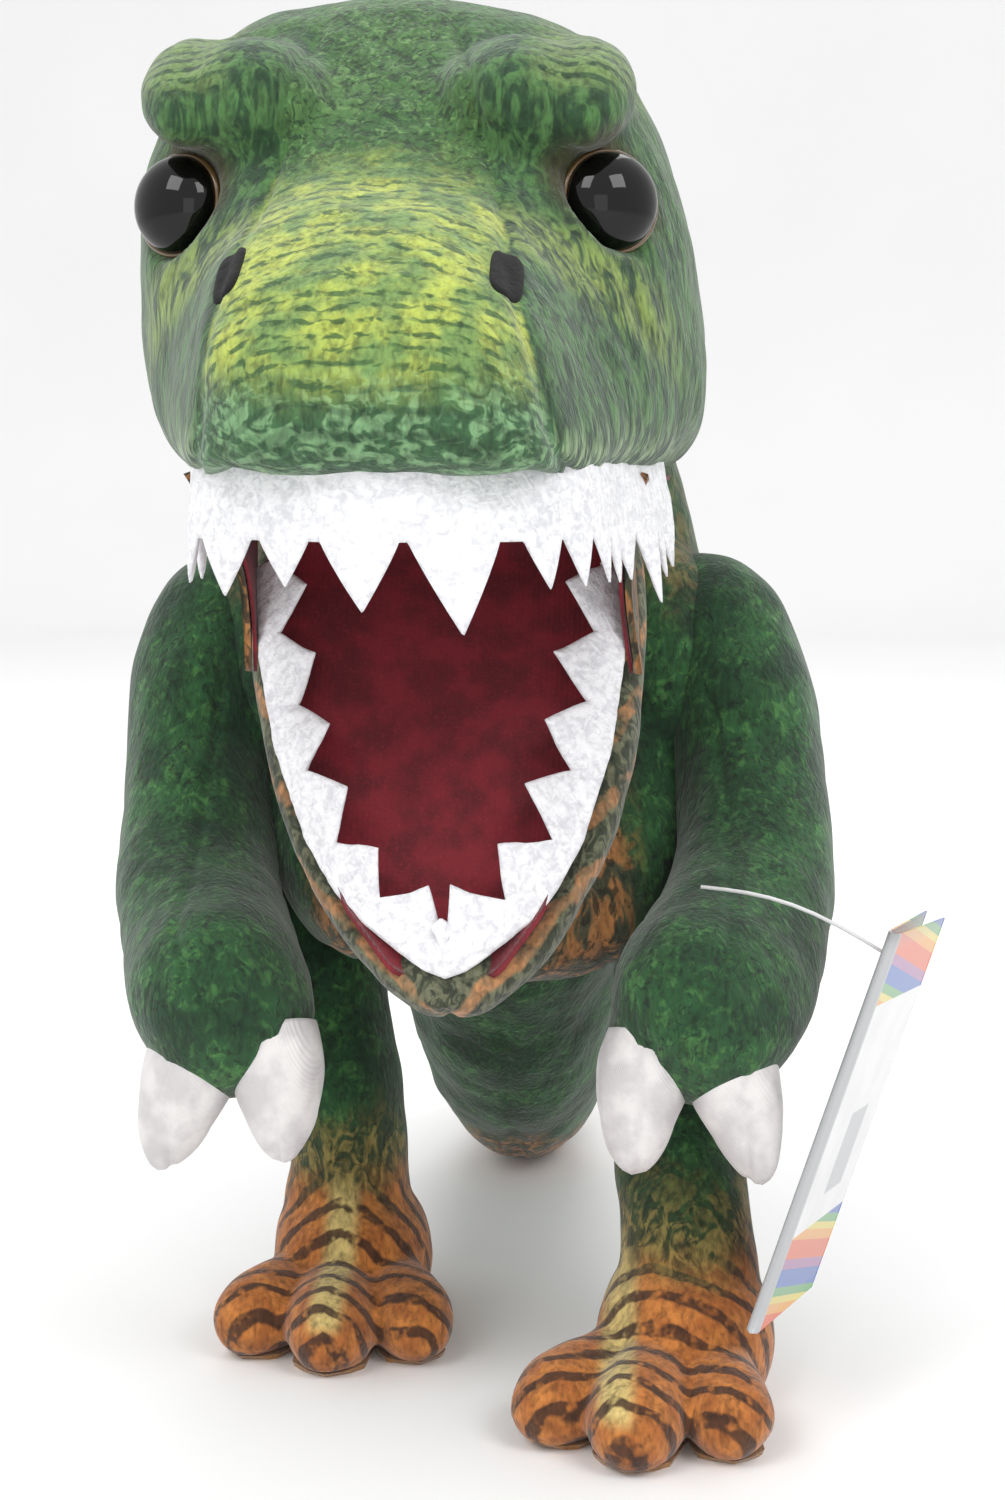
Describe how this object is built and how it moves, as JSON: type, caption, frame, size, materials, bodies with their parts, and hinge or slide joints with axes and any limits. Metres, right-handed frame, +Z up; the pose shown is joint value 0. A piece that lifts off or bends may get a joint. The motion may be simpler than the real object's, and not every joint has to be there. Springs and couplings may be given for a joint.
{
  "type": "plush dinosaur toy",
  "caption": "Standing plush theropod with an open felt-toothed mouth, sprung soft limbs, a swaying tail and a blank swing tag.",
  "frame": {"origin": "middle of the toy's box, on the floor it stands on", "axes": "+Z up, the toy faces -Y, +X is the toy's left"},
  "size_m": [0.18, 0.332, 0.2954],
  "materials": {
    "green_plush": "printed short-pile plush, mottled green",
    "snout_plush": "printed short-pile plush, yellow-green scale rows",
    "belly_plush": "printed short-pile plush, olive and orange",
    "foot_plush": "printed plush, orange with dark bars",
    "mouth_fabric": "dark red fine-pile lining",
    "white_felt": "white craft felt",
    "black_felt": "black felt",
    "satin": "off-white satin",
    "eye_plastic": "glossy black with an amber rim",
    "clear_plastic": "clear nylon and white plastic",
    "stuffing": "polyester fibre",
    "card": "coated card"
  },
  "bodies": {
    "torso": {"back_panel_left": "green_plush", "back_panel_right": "green_plush", "belly_panel": "belly_plush", "torso_stuffing": "stuffing"},
    "head": {"head_top_panel": "snout_plush", "head_side_left": "green_plush", "head_side_right": "green_plush", "head_stuffing": "stuffing", "brow_left": "green_plush", "brow_right": "green_plush", "eye_left": "eye_plastic", "eye_right": "eye_plastic", "eye_washer_left": "clear_plastic", "eye_washer_right": "clear_plastic", "nostril_left": "black_felt", "nostril_right": "black_felt", "palate_lining": "mouth_fabric", "upper_teeth": "white_felt"},
    "jaw": {"jaw_skin_left": "belly_plush", "jaw_skin_right": "belly_plush", "jaw_lining": "mouth_fabric", "jaw_stuffing": "stuffing", "lower_teeth": "white_felt"},
    "tail": {"tail_skin": "green_plush", "tail_stuffing": "stuffing"},
    "arm_left": {"arm_skin_left": "green_plush", "arm_stuffing_left": "stuffing", "claw_outer_left": "satin", "claw_inner_left": "satin", "tag_pin": "clear_plastic"},
    "leg_left": {"leg_skin_left": "green_plush", "leg_stuffing_left": "stuffing", "foot_skin_left": "foot_plush", "foot_stuffing_left": "stuffing", "sole_left": "belly_plush"},
    "arm_right": {"arm_skin_right": "green_plush", "arm_stuffing_right": "stuffing", "claw_outer_right": "satin", "claw_inner_right": "satin"},
    "leg_right": {"leg_skin_right": "green_plush", "leg_stuffing_right": "stuffing", "foot_skin_right": "foot_plush", "foot_stuffing_right": "stuffing", "sole_right": "belly_plush"},
    "tag": {"tag_card": "card"}
  },
  "joints": [
    {"name": "head_nod", "type": "hinge", "parent": "torso", "child": "head", "pos_m": [-0.01608, -0.006, 0.207], "axis": [1, 0, 0], "range_deg": [-8, 3], "stiffness_Nm_per_rad": 4},
    {"name": "jaw_open", "type": "hinge", "parent": "head", "child": "jaw", "pos_m": [-0.01464, -0.058, 0.189], "axis": [1, 0, 0], "range_deg": [-30, 2], "stiffness_Nm_per_rad": 1.5},
    {"name": "tail_sway", "type": "hinge", "parent": "torso", "child": "tail", "pos_m": [-0.00632, 0.012, 0.05], "axis": [0, 0, 1], "range_deg": [-12, 12], "stiffness_Nm_per_rad": 3},
    {"name": "arm_left_swing", "type": "hinge", "parent": "torso", "child": "arm_left", "pos_m": [0.04072, -0.016, 0.147], "axis": [1, 0, 0], "range_deg": [-20, 2], "stiffness_Nm_per_rad": 1.5},
    {"name": "leg_left_flex", "type": "hinge", "parent": "torso", "child": "leg_left", "pos_m": [0.03216, -0.002, 0.104], "axis": [1, 0, 0], "range_deg": [-4, 4], "stiffness_Nm_per_rad": 14},
    {"name": "arm_right_swing", "type": "hinge", "parent": "torso", "child": "arm_right", "pos_m": [-0.06328, -0.016, 0.147], "axis": [1, 0, 0], "range_deg": [-20, 2], "stiffness_Nm_per_rad": 1.5},
    {"name": "leg_right_flex", "type": "hinge", "parent": "torso", "child": "leg_right", "pos_m": [-0.04784, -0.002, 0.104], "axis": [1, 0, 0], "range_deg": [-4, 4], "stiffness_Nm_per_rad": 14},
    {"name": "tag_swing", "type": "hinge", "parent": "arm_left", "child": "tag", "pos_m": [0.07768, -0.102, 0.1025], "axis": [1, 0, 0], "range_deg": [-10, 10]}
  ]
}
